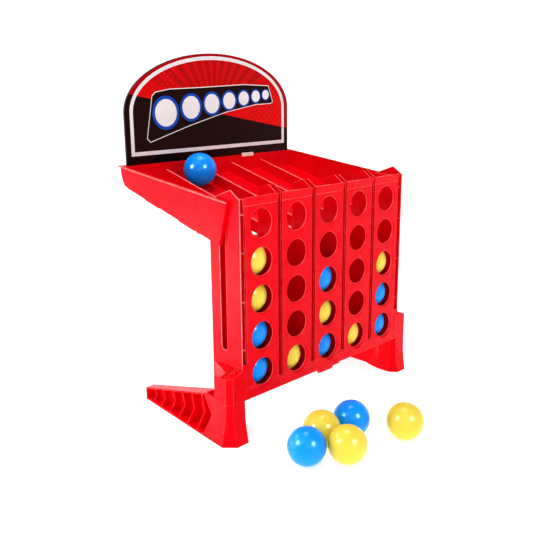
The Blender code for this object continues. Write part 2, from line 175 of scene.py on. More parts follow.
# Stage, in metres and watts
FLOOR_SIZE = 30.0
SKY_FADE = {"From Min": 0.25, "From Max": 0.5, "To Min": 1.0, "To Max": 0.45}
SUN_STRENGTH = 0.4
SUN_ANGLE = 30.0
SUN_TOWARDS = (0.9, 0.35, -1.3)
TOWER_MIDDLE = (0.0, 0.0, 0.15)
TRAY_MIDDLE = (0.0, 0.1, 0.25)
SOFT_LIGHTS = (
    ("key", (-0.75, 1.09, 1.1), TOWER_MIDDLE, (0.6, 0.6), 8.0),
    ("fill", (-0.85, -1.0, 0.55), TOWER_MIDDLE, (0.5, 0.5), 2.0),
    ("top", (0.0, 0.1, 1.3), (0.0, 0.1, 0.2), (0.5, 0.5), 6.0),
    ("side", (-0.42, 0.27, 0.065), (-0.1, -0.05, 0.065), (0.4, 0.13), 0.4),
)
REFLECTION_CARDS = (
    ("left_card", (-1.45, 0.40, 0.85), TRAY_MIDDLE, (0.55, 0.55), 38.0),
    ("right_card", (-0.10, -1.45, 0.90), TRAY_MIDDLE, (0.55, 0.55), 38.0),
)

# Camera
AZIMUTH = -0.775142
ELEVATION = 0.250842
ROLL = -0.00973
CAMERA_AT = (-0.602914, -0.545849, 0.369341)
LENS = 48.747
SENSOR = 36.0


def column_x(column):
    """Centre of a column, counted from 1 at the left."""
    return (column - (COLUMNS + 1) / 2) * PITCH_X


def row_z(row):
    """Centre of a row, counted from 1 at the top."""
    return BOTTOM_ROW_Z + (ROWS - row) * PITCH_Z


def floor_z(y):
    """Height of the tray floor's top face."""
    return FLOOR_AT[1] + (y - FLOOR_AT[0]) * SLOPE


def rim_z(y):
    """Height of the tray's top edge."""
    (y0, z0), (y1, z1) = RIM_FRONT, RIM_REAR
    return z0 + (y - y0) * (z1 - z0) / (y1 - y0)


# Mesh tools


def mesh_of(points, faces):
    """A closed mesh with its faces turned outwards."""
    mesh = bpy.data.meshes.new("shape")
    work = bmesh.new()
    corners = [work.verts.new((x * MM, (y - ORIGIN_Y) * MM, z * MM)) for x, y, z in points]
    for face in faces:
        work.faces.new([corners[i] for i in face])
    bmesh.ops.recalc_face_normals(work, faces=work.faces)
    work.to_mesh(mesh)
    work.free()
    return mesh


def loft(rings):
    """Rings of equally many points, joined in order and closed at both ends."""
    count = len(rings[0])
    points = [p for ring in rings for p in ring]
    faces = [list(range(count)), list(range(len(points) - count, len(points)))]
    for level in range(len(rings) - 1):
        low, high = level * count, (level + 1) * count
        for i in range(count):
            j = (i + 1) % count
            faces.append([low + i, low + j, high + j, high + i])
    return mesh_of(points, faces)


def prism(outline, axis, low, high):
    """A flat outline swept along X, Y or Z."""
    put = {
        "X": lambda a, b, t: (t, a, b),
        "Y": lambda a, b, t: (a, t, b),
        "Z": lambda a, b, t: (a, b, t),
    }[axis]
    return loft([[put(a, b, t) for a, b in outline] for t in (low, high)])


def box(x, y, z):
    """A block between pairs of limits."""
    (x0, x1), (y0, y1), (z0, z1) = x, y, z
    return prism([(x0, y0), (x1, y0), (x1, y1), (x0, y1)], "Z", z0, z1)


def disc(centre, radius, segments):
    """Points of a circle in any plane."""
    steps = [2 * math.pi * (i + 0.5) / segments for i in range(segments)]
    return [(centre[0] + radius * math.cos(t), centre[1] + radius * math.sin(t)) for t in steps]


def spread(side, low, high):
    """Limits along X for a block on one side."""
    return tuple(sorted((side * low, side * high)))


def joined(meshes):
    """Separate closed shapes in one mesh."""
    work = bmesh.new()
    for mesh in meshes:
        work.from_mesh(mesh)
        bpy.data.meshes.remove(mesh)
    whole = bpy.data.meshes.new("shapes")
    work.to_mesh(whole)
    work.free()
    return whole


def modified(mesh, kind, others=(), **settings):
    """The mesh after one modifier with these settings."""
    body = bpy.data.objects.new("body", mesh)
    items = [body]
    for other in others:
        items.append(bpy.data.objects.new("tool", other))
    for item in items:
        bpy.context.scene.collection.objects.link(item)
    step = body.modifiers.new("step", kind)
    for key, value in settings.items():
        setattr(step, key, value)
    if others:
        step.object = items[1]
    graph = bpy.context.evaluated_depsgraph_get()
    result = bpy.data.meshes.new_from_object(body.evaluated_get(graph))
    for item in items:
        bpy.data.objects.remove(item)
    for used in (mesh, *others):
        bpy.data.meshes.remove(used)
    return result


def union(meshes):
    """Overlapping shapes as one solid."""
    whole = meshes[0]
    for mesh in meshes[1:]:
        whole = modified(whole, "BOOLEAN", [mesh], operation="UNION", solver="EXACT")
    return whole


def cut(mesh, cutters):
    """A solid with separate shapes taken out of it."""
    return modified(mesh, "BOOLEAN", [joined(cutters)], operation="DIFFERENCE", solver="EXACT")


def cleaned(mesh, weld=0.004):
    """Doubled points welded and flat faces merged, so that only real edges are left."""
    work = bmesh.new()
    work.from_mesh(mesh)
    bmesh.ops.remove_doubles(work, verts=work.verts, dist=weld * MM)
    bmesh.ops.dissolve_limit(
        work, angle_limit=math.radians(0.4), verts=work.verts, edges=work.edges
    )
    bmesh.ops.recalc_face_normals(work, faces=work.faces)
    work.to_mesh(mesh)
    work.free()
    return mesh


def triangulated(mesh):
    """Faces of five or more corners split, as a bevel can fold a large one over itself."""
    work = bmesh.new()
    work.from_mesh(mesh)
    bmesh.ops.triangulate(work, faces=[face for face in work.faces if len(face.verts) > 4])
    work.to_mesh(mesh)
    work.free()
    return mesh


def rounded(mesh, width, angle=SHARP_ANGLE):
    """Sharp edges rounded over a width in millimetres, the new faces marked for the material's painted edge
    highlight.
    """
    mesh = triangulated(cleaned(mesh))
    for _ in range(2):
        mesh.materials.append(None)
    mesh = modified(
        mesh, "BEVEL", width=width * MM, segments=2, limit_method="ANGLE", material=1,
        angle_limit=math.radians(angle), use_clamp_overlap=True,
    )
    mark(mesh, [float(face.material_index == 1) for face in mesh.polygons])
    for face in mesh.polygons:
        face.material_index = 0
    mesh.materials.clear()
    return mesh


def mark(mesh, values):
    """How much each face gets the painted edge highlight, with some wear, for the material to read."""
    layer = mesh.attributes.get(EDGE) or mesh.attributes.new(EDGE, "FLOAT", "FACE")
    layer.data.foreach_set("value", values)


def shaded(mesh, angle=42.0):
    """Smooth shading that keeps flat faces flat."""
    for face in mesh.polygons:
        face.use_smooth = True
    mesh.set_sharp_from_angle(angle=math.radians(angle))
    return modified(mesh, "WEIGHTED_NORMAL", weight=50, keep_sharp=True)


def piece(name, mesh, material, body, replaces=()):
    """A named piece with its material, on a body, in place of some nodes of the model."""
    mesh = shaded(mesh)
    mesh.name = name
    mesh.materials.clear()
    mesh.materials.append(material)
    item = bpy.data.objects.new(name, mesh)
    bpy.context.scene.collection.objects.link(item)
    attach(item, body)
    if replaces:
        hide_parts(*replaces)
    return item


def copy_of(node):
    """A node's own mesh, to be refined as a new piece."""
    mesh = bpy.data.meshes.new("copy")
    work = bmesh.new()
    work.from_mesh(node.data)
    work.transform(node.matrix_world)
    work.to_mesh(mesh)
    work.free()
    return mesh


# Materials


class Graph:
    """A material's node tree, with short calls for the nodes used here."""

    def __init__(self, name):
        self.material = bpy.data.materials.new(name)
        self.material.use_nodes = True
        self.tree = self.material.node_tree
        self.shader = self.tree.nodes["Principled BSDF"]
        self.coords = self.tree.nodes.new("ShaderNodeTexCoord").outputs["Object"]

    def link(self, source, target):
        """Join two sockets."""
        self.tree.links.new(source, target)

    def node(self, kind, inputs=(), **settings):
        """A shader node with its inputs linked or set."""
        made = self.tree.nodes.new("ShaderNode" + kind)
        for key, value in settings.items():
            setattr(made, key, value)
        for key, value in dict(inputs).items():
            if isinstance(value, bpy.types.NodeSocket):
                self.link(value, made.inputs[key])
            else:
                made.inputs[key].default_value = value
        return made

    def noise(self, scale, detail=2.0, roughness=0.5, stretch=None):
        """Noise over the object, from 0 to 1."""
        vector = self.coords
        if stretch:
            vector = self.node("Mapping", {"Vector": vector, "Scale": stretch}).outputs["Vector"]
        inputs = {"Vector": vector, "Scale": scale, "Detail": detail, "Roughness": roughness}
        return self.node("TexNoise", inputs).outputs["Fac"]

    def ranged(self, value, low, high, to_low, to_high):
        """A value carried from one range to another, held at its ends."""
        inputs = {"Value": value, "From Min": low, "From Max": high, "To Min": to_low, "To Max": to_high}
        return self.node("MapRange", inputs).outputs["Result"]

    def mix(self, factor, first, second):
        """Two colours mixed."""
        made = self.node("Mix", data_type="RGBA")
        for index, value in ((0, factor), (6, first), (7, second)):
            socket = made.inputs[index]
            if isinstance(value, bpy.types.NodeSocket):
                self.link(value, socket)
            else:
                socket.default_value = value if isinstance(value, float) else (*value, 1.0)
        return made.outputs[2]

    def math(self, operation, first, second=0.0):
        """One arithmetic step."""
        return self.node("Math", {0: first, 1: second}, operation=operation).outputs[0]

    def bump(self, layers):
        """Bump from (height, strength, depth in millimetres) layers."""
        normal = None
        for height, strength, depth in layers:
            inputs = {"Height": height, "Strength": strength, "Distance": depth * MM}
            if normal:
                inputs["Normal"] = normal
            normal = self.node("Bump", inputs).outputs["Normal"]
        self.link(normal, self.shader.inputs["Normal"])

    def set(self, **values):
        """Values that are the same all over, on the shader's own sockets."""
        for key, value in values.items():
            self.shader.inputs[key.replace("_", " ")].default_value = value


def moulded(name, colour, deep, highlight_and_wear, roughness, tint, specular, glow):
    """Injection-moulded plastic: flow marks, faint grain, sink ripples and paler edges, a painted highlight
    with some wear.
    """
    g = Graph(name)
    cloud = g.ranged(g.noise(22.0, 3.0), 0.35, 0.65, 0.0, 1.0)
    flow = g.ranged(g.noise(46.0, 2.0, stretch=(1.0, 1.0, 0.22)), 0.4, 0.7, 0.0, 0.35)
    base = g.mix(flow, g.mix(cloud, colour, deep), deep)
    edge = g.node("Attribute", attribute_name=EDGE).outputs["Fac"]
    # Paler colour on marked edges: a painted highlight with some wear, broken up by noise.
    highlight_and_wear_mask = g.math("MULTIPLY", edge, g.ranged(g.noise(120.0, 3.0), 0.3, 0.7, 0.45, 1.0))
    g.link(g.mix(highlight_and_wear_mask, base, highlight_and_wear), g.shader.inputs["Base Color"])
    grain = g.noise(1500.0, 2.0)
    scuff = g.noise(70.0, 4.0, 0.6)
    scuffed = g.ranged(scuff, 0.35, 0.7, roughness, roughness + 0.12)
    rough = g.math("ADD", g.ranged(grain, 0.3, 0.7, -0.03, 0.05), scuffed)
    g.link(rough, g.shader.inputs["Roughness"])
    g.bump(((g.noise(38.0, 1.0), 0.35, 0.5), (grain, 0.12, 0.03)))
    g.set(Specular_IOR_Level=specular, Specular_Tint=(*tint, 1.0), IOR=1.5)
    g.set(Subsurface_Weight=glow, Subsurface_Radius=(1.0, 0.3, 0.3), Subsurface_Scale=0.003)
    return g.material


def board_core():
    """Dark pressed board with a fibrous face, for the backboard's edge and back."""
    g = Graph("pressed_board")
    fibre = g.noise(900.0, 5.0, 0.65, stretch=(1.0, 1.0, 0.3))
    speck = g.ranged(g.noise(2400.0, 2.0), 0.62, 0.7, 0.0, 0.5)
    base = g.mix(g.ranged(fibre, 0.3, 0.7, 0.0, 1.0), (0.012, 0.007, 0.006), (0.022, 0.014, 0.012))
    g.link(g.mix(speck, base, (0.05, 0.035, 0.03)), g.shader.inputs["Base Color"])
    g.link(g.ranged(fibre, 0.3, 0.7, 0.5, 0.7), g.shader.inputs["Roughness"])
    g.bump(((fibre, 0.4, 0.12),))
    g.set(Specular_IOR_Level=0.25)
    return g.material


def ink(name, colour, deep, roughness=0.16):
    """Glossy laminated ink with faint dots of the print screen and a slightly wavy film."""
    g = Graph(name)
    screen = g.node("TexVoronoi", {"Vector": g.coords, "Scale": 1400.0}).outputs["Distance"]
    blotch = g.ranged(g.noise(30.0, 3.0), 0.35, 0.65, 0.0, 0.6)
    base = g.mix(blotch, colour, deep)
    g.link(g.mix(g.ranged(screen, 0.2, 0.6, 0.0, 0.35), base, deep), g.shader.inputs["Base Color"])
    g.link(g.ranged(g.noise(60.0, 3.0), 0.3, 0.7, roughness, roughness + 0.08), g.shader.inputs["Roughness"])
    g.bump(((g.noise(16.0, 1.0), 0.25, 0.4), (g.noise(1800.0, 1.0), 0.05, 0.02)))
    g.set(Specular_IOR_Level=0.12, Specular_Tint=(1.0, 0.5, 0.45, 1.0))
    return g.material


def ray_field(g, x, z):
    """Rays of two reds from a point behind the plaque, fading to a plain red at the sides."""
    turn = g.math("ARCTAN2", x, g.math("SUBTRACT", z, RAY_CENTRE_Z))
    lean = g.math("ABSOLUTE", turn)
    wave = g.math("SINE", g.math("MULTIPLY", turn, RAY_WAVES))
    ray = g.math("MULTIPLY", g.ranged(wave, -0.35, 0.35, 0.0, 1.0), g.ranged(lean, 0.9, 1.25, 1.0, 0.0))
    red = g.mix(ray, (0.56, 0.0015, 0.0035), (0.40, 0.0012, 0.003))
    return g.mix(g.ranged(lean, 1.1, 1.7, 0.0, 1.0), red, (0.72, 0.002, 0.004))


def with_dots(g, x, z, red):
    """Staggered dots that grow towards the sides, pale on the left and dark on the right."""
    def from_cell_middle(value, pitch, shift):
        cell = g.math("FRACT", g.math("ADD", g.math("DIVIDE", value, pitch), shift))
        return g.math("MULTIPLY", g.math("SUBTRACT", cell, 0.5), pitch)

    column, row = DOT_PITCH
    spots = None
    for shift in (0.0, 0.5):
        # Whole cells are added so that no cell's number is negative on the left.
        across = from_cell_middle(x, column, shift + DOT_CELLS_LEFT)
        along = from_cell_middle(z, row, shift)
        apart = g.math("SQRT", g.math("ADD", g.math("POWER", across, 2.0), g.math("POWER", along, 2.0)))
        spots = apart if spots is None else g.math("MINIMUM", spots, apart)
    grown = g.ranged(g.math("ABSOLUTE", x), *DOT_GROWTH, 0.0, DOT_RADIUS)
    size = g.math("MULTIPLY", grown, g.ranged(x, *DOT_FADE, 0.0, 1.0))
    dots = g.ranged(g.math("SUBTRACT", size, spots), -0.25, 0.25, 0.0, 1.0)
    dot_ink = g.mix(g.ranged(x, -1.0, 1.0, 0.0, 1.0), (0.80, 0.012, 0.02), (0.20, 0.001, 0.003))
    return g.mix(g.math("MULTIPLY", dots, 0.62), red, dot_ink)


def with_margin(g, x, z, red):
    """A darker red outside the white frame."""
    across = g.math("DIVIDE", x, FRAME_OUTER[0] - MARGIN_INSET[0])
    above = g.math("MAXIMUM", g.math("SUBTRACT", z, BOARD_SHOULDER), 0.0)
    above = g.math("DIVIDE", above, FRAME_OUTER[2] - MARGIN_INSET[1])
    reach = g.math("ADD", g.math("POWER", across, 2.0), g.math("POWER", above, 2.0))
    return g.mix(g.ranged(reach, 0.99, 1.01, 0.0, 1.0), red, (0.34, 0.0012, 0.006))


def with_black_foot(g, x, z, red):
    """Black below a line that falls to the right."""
    edge = g.math("ADD", g.math("MULTIPLY", x, BLACK_FOOT[0]), BLACK_FOOT[1])
    foot = g.ranged(g.math("SUBTRACT", edge, z), -0.15, 0.15, 0.0, 1.0)
    blotch = g.ranged(g.noise(30.0, 3.0), 0.35, 0.65, 0.0, 1.0)
    black = g.mix(blotch, (0.006, 0.0018, 0.0018), (0.011, 0.0025, 0.0025))
    return g.mix(foot, red, black)


def sunburst():
    """Printed field: red rays and screen dots over a slanting black foot."""
    g = Graph("printed_field")
    place = g.node("SeparateXYZ", {"Vector": g.coords})
    x, z = (g.math("MULTIPLY", place.outputs[axis], 1.0 / MM) for axis in ("X", "Z"))
    colour = ray_field(g, x, z)
    for step in (with_dots, with_margin, with_black_foot):
        colour = step(g, x, z, colour)
    g.link(colour, g.shader.inputs["Base Color"])
    g.link(g.ranged(g.noise(60.0, 3.0), 0.3, 0.7, 0.10, 0.18), g.shader.inputs["Roughness"])
    g.bump(((g.noise(16.0, 1.0), 0.2, 0.4), (g.noise(1800.0, 1.0), 0.05, 0.02)))
    g.set(Specular_IOR_Level=0.16, Specular_Tint=(1.0, 0.3, 0.25, 1.0))
    return g.material


def studio_floor():
    """Plain pale floor with a barely visible tooth."""
    g = Graph("studio_floor")
    tooth = g.noise(40.0, 3.0)
    g.link(g.mix(g.ranged(tooth, 0.3, 0.7, 0.0, 1.0), (0.93, 0.93, 0.93), (0.95, 0.95, 0.95)),
           g.shader.inputs["Base Color"])
    g.link(g.ranged(tooth, 0.3, 0.7, 0.8, 0.9), g.shader.inputs["Roughness"])
    g.set(Specular_IOR_Level=0.1, Emission_Color=(1.0, 1.0, 1.0, 1.0), Emission_Strength=0.42)
    return g.material


# Tower


def comb_plate():
    """The five strips joined along their foot, each with its lip leaning forwards."""
    half = PITCH_X / 2 - GROOVE / 2
    xs = [column_x(c) + s * half for c in range(1, COLUMNS + 1) for s in (-1, 1)]
    zs = [PANEL_BOTTOM, RAIL_BLEND, CREASE_Z, CREASE_Z + 0.25, PANEL_TOP]
    lean = [0.0, 0.0, 0.0, LIP_STEP, -LIP_LEAN]
    filled = {(i, k) for i in range(len(xs) - 1) for k in range(len(zs) - 1) if k == 0 or i % 2 == 0}
    index, points, faces = {}, [], []

    def corner(i, k, back):
        if (i, k, back) not in index:
            index[i, k, back] = len(points)
            points.append((xs[i], lean[k] + (PANEL_T if back else 0.0), zs[k]))
        return index[i, k, back]

    for i, k in sorted(filled):
        ring = [(i, k), (i + 1, k), (i + 1, k + 1), (i, k + 1)]
        faces.append([corner(a, b, False) for a, b in ring])
        faces.append([corner(a, b, True) for a, b in ring])
        for n, (di, dk) in enumerate(((0, -1), (1, 0), (0, 1), (-1, 0))):
            if (i + di, k + dk) not in filled:
                (a, b), (c, d) = ring[n], ring[(n + 1) % 4]
                faces.append([corner(a, b, 0), corner(c, d, 0), corner(c, d, 1), corner(a, b, 1)])
    return mesh_of(points, faces)


def tower_face():
    """Holed panels and their rail, with a dished rim round every hole."""
    rail = loft([
        [(x, y, z) for y, z in ((-RAIL_PROUD, RAIL_BOTTOM), (-RAIL_PROUD, RAIL_TOP), (0.05, RAIL_BLEND),
                                (RAIL_BACK, RAIL_BLEND), (RAIL_BACK, RAIL_BOTTOM))]
        for x in (-RAIL_HALF, RAIL_HALF)
    ])
    profile = [(-RAIL_PROUD, RAIL_BOTTOM), (-RAIL_PROUD, RISER_BEND), (-0.05, RISER_TOP),
               (RAIL_BACK, RISER_TOP), (RAIL_BACK, RAIL_BOTTOM)]
    risers = []
    for side in (-1, 1):
        risers.append(prism(profile, "X", *spread(side, RISER_HALF, RAIL_HALF)))
        risers.append(box(spread(side, *RISER_FILL), (0.0, RAIL_BACK), (RAIL_BOTTOM, RISER_TOP)))
    body = rounded(union([comb_plate(), rail, *risers]), ROUNDING["face"], FACE_SHARP_ANGLE)
    holes = []
    for c in range(1, COLUMNS + 1):
        for r in range(1, ROWS + 1):
            at = (column_x(c), row_z(r))
            hole = loft([[(a, y, b) for a, b in disc(at, radius, HOLE_SEGMENTS)]
                         for radius, y in HOLE_PROFILE])
            depths = [face.center.y / MM + ORIGIN_Y for face in hole.polygons]
            # The inner round of each rim gets a weaker painted highlight.
            mark(hole, [HOLE_HIGHLIGHT * (HOLE_HIGHLIGHT_DEPTHS[0] < y < HOLE_HIGHLIGHT_DEPTHS[1]) for y in depths])
            holes.append(hole)
    for x, z, radius in DIMPLES:
        holes.append(prism(disc((x, z), radius, 16), "Y", -3.0, -0.45))
    return cleaned(cut(body, holes), 0.001)


def socket(side):
    """Boot at a bottom corner: a rimmed slanting top in front, a wedge and a low ledge behind."""
    x0, x1 = SOCKET_X

    def top_z(x):
        return SOCKET_TOP - (x - TOWER_HALF) * SOCKET_FALL

    def block(outline, low, drop=0.0):
        return loft([[(side * x, y, low) for x, y in outline],
                     [(side * x, y, top_z(x) - drop) for x, y in outline]])

    plan = [(x0, -RAIL_PROUD), (149.6, -RAIL_PROUD), (x1, 5.2), (x1, 23.0), (x0 + 1.4, 41.0), (x0, 41.0)]
    base = loft([[(side * x, y, z) for x, y in plan] for z in (RAIL_BOTTOM, SOCKET_LEDGE)])
    head = block(plan[:3] + [(x1, SOCKET_STEP_Y), (x0, SOCKET_STEP_Y)], RAIL_BOTTOM + 4.0)
    cheek = box(spread(side, x1 - 1.3, x1), (SOCKET_STEP_Y - 1.0, 23.0), (SOCKET_LEDGE - 1.0, top_z(x1)))
    dish = [(x0 + 1.0, 0.3), (149.1, 0.3), (x1 - 1.1, 5.7), (x1 - 1.1, SOCKET_STEP_Y - 0.9),
            (x0 + 1.0, SOCKET_STEP_Y - 0.9)]
    lid = loft([[(side * x, y, top_z(x) + rise) for x, y in dish] for rise in (-1.5, 3.0)])
    body = cut(union([base, head, cheek]), [lid])
    wing = block([(x0 - 0.2, SOCKET_STEP_Y - 0.6), (145.8, SOCKET_STEP_Y - 0.6), (x0 - 0.2, 45.0)], 60.0, 0.4)
    ridge = [(0.3, 82.6), (0.3, 81.2), (15.1, 81.2), (27.6, 85.0), (27.2, 86.2), (14.9, 82.6)]
    trim = prism(ridge, "X", *spread(side, x0 + 0.05, x0 + 1.1))
    marks = [
        loft([[(side * x, y, top_z(x) - 1.7 + rise) for x, y in
               ((a, b), (a + 4.6, b + 0.3), (a + 4.6, b + 1.5), (a, b + 1.2))] for rise in (0.0, 0.75)])
        for a, b in ((138.4, 9.8), (138.9, 6.6), (145.8, 10.4), (148.2, 6.8))
    ]
    return rounded(union([body, wing, trim, *marks]), ROUNDING["socket"])


# Tray


def tray_side(side):
    """Drafted side wall with its rolled rim and the upright flange in front."""
    def out(y, z):
        drop = rim_z(y) - z
        return TRAY_OUTER - TRAY_DRAFT * min(max(drop / 34.0, 0.0), 1.0)

    bottom = [(28.6, 209.8), (40.0, floor_z(40.0) - FLOOR_T), (185.5, floor_z(185.5) - FLOOR_T)]
    corner = [(189.0, 253.6), (192.4, 256.6), (194.6, 259.6), (196.4, 264.4), (197.2, 270.0),
              (197.4, rim_z(197.4) - 0.2)]
    top = [(y, rim_z(y) - 0.2) for y in (120.0, 60.0, 20.0)]
    outline = bottom + corner + top
    wall = loft([[(side * (out(y, z) - inset), y, z) for y, z in outline] for inset in (0.0, 1.9)])
    strip = [(26.4, 209.5), (29.4, 209.9), (20.4, rim_z(20.4) - 0.3), (14.2, rim_z(14.2) - 0.3)]
    flange = prism(strip, "X", *spread(side, TOWER_HALF + 0.2, TRAY_OUTER + 0.1))
    rim = []
    for y in (RIM_FRONT[0] + 0.4, TRAY_END):
        z = rim_z(y)
        section = ((137.3, 0.0), (140.2, 0.15), (141.2, 0.55), (141.4, 1.0), (141.2, 1.45),
                   (140.6, RIM_T), (137.3, RIM_T))
        rim.append([(side * a, y, z - b) for a, b in section])
    return [wall, flange, loft(rim)]


def tray_parts():
    """Floor, rear wall with the backboard's slot, rear rim, dividers and the tabs below."""
    x = TRAY_INNER - 0.6
    ends = (FLOOR_FRONT - 0.6, FLOOR_REAR)
    outline = [(y, floor_z(y) - FLOOR_T) for y in ends] + [(y, floor_z(y)) for y in reversed(ends)]
    floor = prism(outline, "X", -x, x)
    rear = prism([
        (190.9, 254.0), (192.4, 256.4), (194.6, 259.4), (196.3, 264.4), (197.1, 270.0), (197.1, 275.4),
        (TRAY_END - 0.5, 275.6), (TRAY_END, 276.1), (TRAY_END, 276.8), (TRAY_END - 0.5, 277.3),
        (195.5, 277.0), (195.5, BOARD_FOOT - 0.3), (192.7, BOARD_FOOT - 0.3), (192.7, 276.6), (190.9, 276.4),
    ], "X", -TRAY_OUTER + 0.6, TRAY_OUTER - 0.6)
    parts = [floor, rear]
    for number in range(1, COLUMNS):
        c = column_x(number) + PITCH_X / 2
        rings = []
        for y in (DIVIDER_FRONT, 44.0, 191.2):
            low = max(floor_z(y) - 0.6, 211.3)
            high = floor_z(y) + DIVIDER_H
            rings.append([(c - 2.8, y, low), (c + 2.8, y, low), (c + 1.5, y, high), (c - 1.5, y, high)])
        parts.append(loft(rings))
    for side in (-1, 1):
        for y0, y1 in TAB_Y:
            tab = [(y0, floor_z(y0) - FLOOR_T - TAB_DROP), (y1, floor_z(y1) - FLOOR_T - TAB_DROP),
                   (y1, floor_z(y1) - 0.8), (y0, floor_z(y0) - 0.8)]
            parts.append(prism(tab, "X", *spread(side, x - 2.4, x - 0.4)))
        parts += tray_side(side)
    return parts


def tray_highlight(face, edge):
    """How much painted highlight a face of the tray gets: the dividers' ridges and the rim more than the
    rest.
    """
    x, y, z = face.center / MM
    x, y = abs(x), y + ORIGIN_Y
    ridge = x < RIDGE_REACH[0] and y < RIDGE_REACH[1] and z > floor_z(y) + DIVIDER_H - RIDGE_BAND
    rim = x > TRAY_OUTER + 0.4 and z > rim_z(y) - RIM_T
    if ridge or rim:
        return 1.0 if edge else RIDGE_HIGHLIGHT
    return edge


def tray():
    """The whole tray in one moulding, with the drain slits near its right side."""
    slits = [box((x - 0.8, x + 0.8), (y0, y1), (225.0, 262.0)) for x, y0, y1 in SLITS]
    body = rounded(cut(union(tray_parts()), slits), ROUNDING["tray"])
    # The ridges and rim get more painted highlight than the other edges.
    mark(body, [tray_highlight(face, edge.value) for face, edge in zip(body.polygons, body.attributes[EDGE].data)])
    return body


# Backboard


def arched(half, foot, rise, segments=72):
    """Outline with a level foot, straight sides and an elliptical top."""
    steps = [math.pi * i / segments for i in range(segments + 1)]
    arch = [(half * math.cos(t), BOARD_SHOULDER + rise * math.sin(t)) for t in steps]
    return [(-half, foot), (half, foot)] + arch


def slab(outline, proud):
    """A thin printed layer on the board's front."""
    return prism(outline, "Y", BOARD_Y - proud, BOARD_Y - proud + LAYER_T)


def ring_slab(outer, inner, proud):
    """A thin printed band between two outlines of as many points."""
    count = len(outer)
    points = [(a, y, b) for y in (BOARD_Y - proud, BOARD_Y - proud + LAYER_T)
              for a, b in outer + inner]
    faces = []
    for i in range(count):
        j = (i + 1) % count
        o, p, q, r = i, j, j + count, i + count
        faces.append([o, p, q, r])
        faces.append([v + 2 * count for v in (r, q, p, o)])
        faces.append([o, p, p + 2 * count, o + 2 * count])
        faces.append([r, q, q + 2 * count, r + 2 * count])
    return mesh_of(points, faces)


def frame_line(share, half_width=0.035):
    """A fine line round the white frame, at a share of its width from the outside."""
    outer, inner = ([o + (i - o) * (share + shift) for o, i in zip(FRAME_OUTER, FRAME_INNER)]
                    for shift in (-half_width, half_width))
    return ring_slab(arched(*outer), arched(*inner), 0.15)


def shrunk(outline, inset):
    """An outline moved inwards by a distance."""
    moved = []
    count = len(outline)
    for i in range(count):
        a, b, c = Vector(outline[i - 1]), Vector(outline[i]), Vector(outline[(i + 1) % count])
        e, f = (b - a).normalized(), (c - b).normalized()
        n, m = Vector((e.y, -e.x)), Vector((f.y, -f.x))
        miter = (n + m) / max(1.0 + n.dot(m), 0.35)
        moved.append(tuple(b + miter * inset))
    return moved


def discs():
    """Centres and radii of the plaque's row of discs, shrinking to the right."""
    row = []
    for i in range(DISC_COUNT):
        t = i / (DISC_COUNT - 1)
        radius = DISC_R[0] + (DISC_R[1] - DISC_R[0]) * t ** 0.8
        row.append(radius)
    gap = (DISC_END[0] - DISC_START[0] - 2 * sum(row) + row[0] + row[-1]) / (DISC_COUNT - 1)
    placed, x = [], DISC_START[0]
    for i, radius in enumerate(row):
        if i:
            x += row[i - 1] + gap + radius
        t = (x - DISC_START[0]) / (DISC_END[0] - DISC_START[0])
        z = DISC_START[1] + (DISC_END[1] - DISC_START[1]) * t ** 0.85
        placed.append(((x, z), radius))
    return placed


def clip():
    """Pale clip over the rear wall that grips the board's foot."""
    return rounded(box(*CLIP), ROUNDING["clip"])


def build_backboard(inks):
    """Board core with its printed layers, all on the backboard's body."""
    rise = BOARD_TOP - BOARD_SHOULDER
    core = prism(arched(BOARD_HALF, BOARD_FOOT, rise), "Y", BOARD_Y - 0.02, BOARD_Y + BOARD_T)
    core = rounded(core, ROUNDING["board"])
    piece("backboard_core", core, inks["board"], "backboard", ["backboard"])
    face = arched(BOARD_HALF - 0.25, BOARD_FOOT + 0.3, rise - 0.25)
    layers = {
        "backboard_print": (slab(face, 0.07), "field"),
        "backboard_frame": (ring_slab(arched(*FRAME_OUTER), arched(*FRAME_INNER), 0.12), "white"),
        "frame_line_outer": (frame_line(0.30), "grey"),
        "frame_line_inner": (frame_line(0.66), "grey"),
        "plaque_edge": (slab(list(PLAQUE), 0.12), "white"),
        "plaque_field": (slab(shrunk(PLAQUE, 1.0), 0.16), "black"),
    }
    blue, white = [], []
    for centre, radius in discs():
        blue.append(slab(disc(centre, radius, 48), 0.20))
        white.append(slab(disc(centre, radius * DISC_WHITE, 48), 0.24))
    layers["plaque_discs_blue"] = (joined(blue), "blue")
    layers["plaque_discs_white"] = (joined(white), "white")
    for name, (mesh, key) in layers.items():
        piece(name, mesh, inks[key], "backboard")


# Balls


def ball_rings():
    """Latitudes in degrees from pole to pole, each with the radius there."""
    lat = [-90.0, -87.6, -85.6, -83.5]
    lat += [-83.5 + 7.5 * i for i in range(1, 11)] + [-3.6, -1.5, -0.8, 0.0]
    lat += [-a for a in reversed(lat[:-1])]
    rings = []
    for angle in lat:
        depth = 0.0
        if abs(angle) < 1.0:
            depth = 0.09 if angle else 0.02
        if angle < -85.0:
            depth = 0.22 if angle < -87.0 else 0.10
        rings.append((angle, BALL_R - depth))
    return rings


